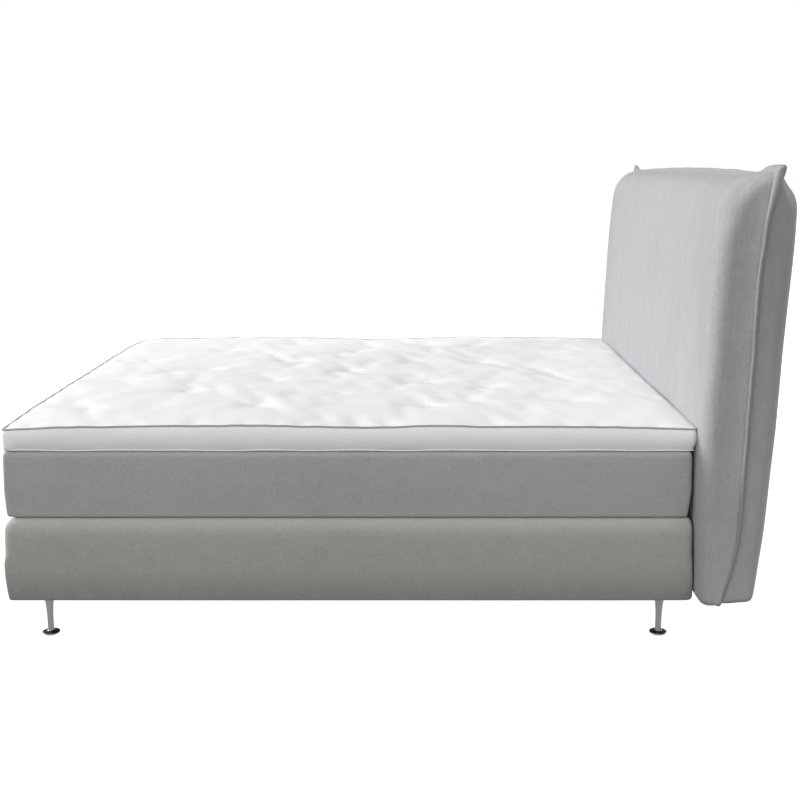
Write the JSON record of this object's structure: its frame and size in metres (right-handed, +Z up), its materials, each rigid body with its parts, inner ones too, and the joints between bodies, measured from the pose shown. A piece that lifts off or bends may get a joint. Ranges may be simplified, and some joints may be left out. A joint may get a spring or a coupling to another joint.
{
  "type": "box spring bed",
  "caption": "Upholstered double bed of a base box, a spring mattress and a tufted topper on slim trumpet legs, with a cushion-shaped headboard",
  "frame": {"origin": "on the floor, under the middle of the whole bed, headboard included", "axes": "+Y from the foot end to the headboard, +X to the right of someone at the foot end who looks at the headboard, +Z up"},
  "size_m": [2.0576, 2.235, 1.4006],
  "materials": {
    "grey_fabric": "matte",
    "headboard_fabric": "matte",
    "white_fabric": "matte",
    "grey_piping": "matte",
    "black_lining": "matte",
    "foam": "matte",
    "spring_pockets": "matte",
    "timber": "matte",
    "plywood": "matte",
    "satin_chrome": "satin",
    "zinc_steel": "satin",
    "black_plastic": "matte"
  },
  "bodies": {
    "base": {"base_cover": "grey_fabric", "base_dust_cover": "black_lining", "base_side_rail_left": "timber", "base_side_rail_right": "timber", "base_foot_rail": "timber", "base_head_rail": "timber", "base_centre_beam": "timber", "base_slat_1": "timber", "base_slat_2": "timber", "base_slat_3": "timber", "base_slat_4": "timber", "base_slat_5": "timber", "base_slat_6": "timber", "base_leg_block_foot_left": "timber", "base_leg_block_foot_right": "timber", "base_leg_block_head_left": "timber", "base_leg_block_head_right": "timber", "base_spring_unit": "spring_pockets", "base_top_pad": "foam", "leg_foot_left": "satin_chrome", "leg_foot_right": "satin_chrome", "leg_head_left": "satin_chrome", "leg_head_right": "satin_chrome", "leg_stud_foot_left": "zinc_steel", "leg_stud_foot_right": "zinc_steel", "leg_stud_head_left": "zinc_steel", "leg_stud_head_right": "zinc_steel", "leg_glide_foot_left": "black_plastic", "leg_glide_foot_right": "black_plastic", "leg_glide_head_left": "black_plastic", "leg_glide_head_right": "black_plastic", "centre_leg": "black_plastic", "centre_leg_glide": "black_plastic", "headboard_front_cover": "headboard_fabric", "headboard_back_cover": "headboard_fabric", "headboard_front_pad": "foam", "headboard_back_pad": "foam", "headboard_edge_pad": "foam", "headboard_panel": "plywood", "headboard_upright_left": "timber", "headboard_upright_right": "timber", "headboard_top_rail": "timber", "headboard_middle_rail": "timber", "headboard_bottom_rail": "timber", "headboard_bracket_left": "zinc_steel", "headboard_bracket_right": "zinc_steel", "base_bolt_left": "zinc_steel", "base_bolt_right": "zinc_steel", "headboard_bolt_left": "zinc_steel", "headboard_bolt_right": "zinc_steel"},
    "mattress": {"mattress_cover": "grey_fabric", "mattress_bottom_cloth": "black_lining", "mattress_edge_foam": "foam", "mattress_spring_unit": "spring_pockets", "mattress_top_pad": "foam"},
    "topper": {"topper_cover": "white_fabric", "topper_bottom_cloth": "white_fabric", "topper_core": "foam", "topper_piping_top": "grey_piping", "topper_piping_bottom": "white_fabric"}
  },
  "joints": [
    {"name": "mattress_lift", "type": "slide", "parent": "base", "child": "mattress", "axis": [0, 0, 1], "range_m": [0, 1.05]},
    {"name": "topper_lift", "type": "slide", "parent": "mattress", "child": "topper", "axis": [0, 0, 1], "range_m": [0, 0.85]}
  ]
}
